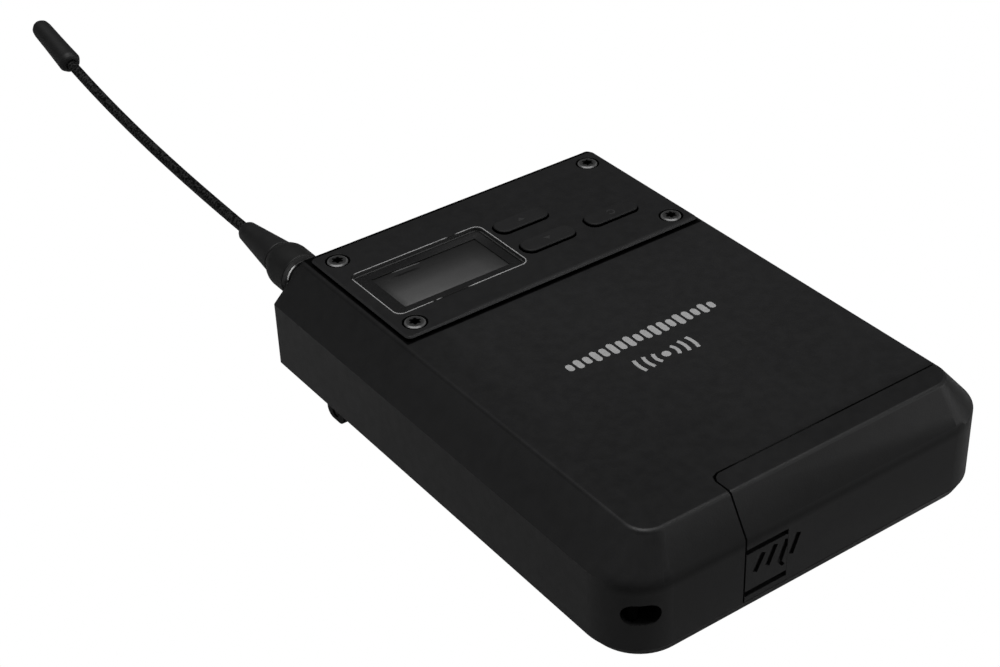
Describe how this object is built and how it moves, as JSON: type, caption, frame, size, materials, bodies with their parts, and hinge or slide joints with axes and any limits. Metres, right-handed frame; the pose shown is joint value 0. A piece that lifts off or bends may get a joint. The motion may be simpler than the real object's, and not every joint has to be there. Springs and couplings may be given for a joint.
{
  "type": "wireless bodypack transmitter",
  "caption": "Slim belt-worn radio transmitter case with a raised control panel, small display, pill keys, a flexible whip aerial, a battery door and a wire belt clip.",
  "frame": {"origin": "centre of the rear face, where the belt lies under the clip", "axes": "+X to the right seen from the front, +Y along the case towards the aerial end, +Z out of the front face"},
  "size_m": [0.0696, 0.1885, 0.0331],
  "materials": {
    "shell_black": "fine-grained matte black moulding",
    "panel_black": "smooth satin black",
    "key_black": "matte black keypad rubber",
    "screw_steel": "black-oxide steel worn grey on the rim",
    "bright_edge": "bright narrow edge line",
    "window_clear": "clear, slightly smoked",
    "mask_black": "gloss black",
    "lcd_grey": "dark grey reflective display",
    "foam_black": "closed-cell foam",
    "board_green": "solder mask",
    "chip_black": "moulded package",
    "tin_plate": "tin-plated sheet",
    "nickel": "nickel-plated",
    "brass": "turned brass",
    "white_plastic": "moulded insulator",
    "cell_wrap": "plain cell sleeve",
    "lead_red": "wire insulation",
    "aerial_rubber": "black flexible moulding",
    "spring_wire": "black-coated spring steel",
    "lamp_lens": "tinted lens"
  },
  "bodies": {
    "case": {"aerial_jack": "nickel", "aerial_jack_washer": "bright_edge", "battery_cells": "cell_wrap", "battery_cradle": "chip_black", "battery_leads": "lead_red", "cell_contacts": "nickel", "cell_spring": "nickel", "coax_pigtail": "chip_black", "control_panel_plate": "panel_black", "display_frame": "bright_edge", "display_mask": "mask_black", "display_window": "window_clear", "door_hinge_pin": "nickel", "lanyard_bar": "spring_wire", "lcd_backlight": "white_plastic", "lcd_glass": "lcd_grey", "lcd_ribbon": "lead_red", "main_housing": "shell_black", "main_pcb": "board_green", "mic_jack": "nickel", "mic_jack_nut": "nickel", "panel_gasket": "foam_black", "panel_screws": "screw_steel", "pcb_capacitors": "tin_plate", "pcb_chips": "chip_black", "pcb_screws": "nickel", "power_switch_body": "tin_plate", "rear_cover": "shell_black", "rear_cover_screws": "screw_steel", "rf_shield_can": "tin_plate", "status_led": "lamp_lens", "tact_switches": "chip_black"},
    "button_up": {"button_up": "key_black"},
    "button_down": {"button_down": "key_black"},
    "button_set": {"button_set": "key_black"},
    "battery_door": {"battery_door": "shell_black", "door_contact_bridge": "nickel"},
    "door_latch": {"door_latch_tongue": "shell_black"},
    "belt_clip": {"belt_clip_wire": "spring_wire"},
    "aerial": {"aerial_collar": "aerial_rubber", "aerial_centre_pin": "brass", "aerial_tip_cap": "aerial_rubber", "aerial_whip": "aerial_rubber", "aerial_boot": "aerial_rubber"},
    "power_switch": {"power_switch_knob": "shell_black"}
  },
  "joints": [
    {"name": "button_up_press", "type": "slide", "parent": "case", "child": "button_up", "axis": [0, 0, -1], "range_m": [0, 0.0004], "stiffness_N_per_m": 60},
    {"name": "button_down_press", "type": "slide", "parent": "case", "child": "button_down", "axis": [0, 0, -1], "range_m": [0, 0.0004], "stiffness_N_per_m": 60},
    {"name": "button_set_press", "type": "slide", "parent": "case", "child": "button_set", "axis": [0, 0, -1], "range_m": [0, 0.0004], "stiffness_N_per_m": 60},
    {"name": "battery_door_swing", "type": "hinge", "parent": "case", "child": "battery_door", "pos_m": [0.033, -0.03895, 0.0088], "axis": [0, 0, 1], "range_deg": [0, 90]},
    {"name": "door_latch_press", "type": "hinge", "parent": "battery_door", "child": "door_latch", "pos_m": [-0.00613, -0.045, 0.0083], "axis": [0, 0, -1], "range_deg": [0, 7], "stiffness_Nm_per_rad": 0.001},
    {"name": "belt_clip_open", "type": "hinge", "parent": "case", "child": "belt_clip", "pos_m": [0, 0.033, -0.00105], "axis": [1, 0, 0], "range_deg": [0, 20], "stiffness_Nm_per_rad": 0.3},
    {"name": "aerial_turn", "type": "hinge", "parent": "case", "child": "aerial", "pos_m": [-0.0287, 0.046, 0.017], "axis": [0, 1, 0], "continuous": true},
    {"name": "power_switch_slide", "type": "slide", "parent": "case", "child": "power_switch", "axis": [1, 0, 0], "range_m": [0, 0.0044]}
  ]
}
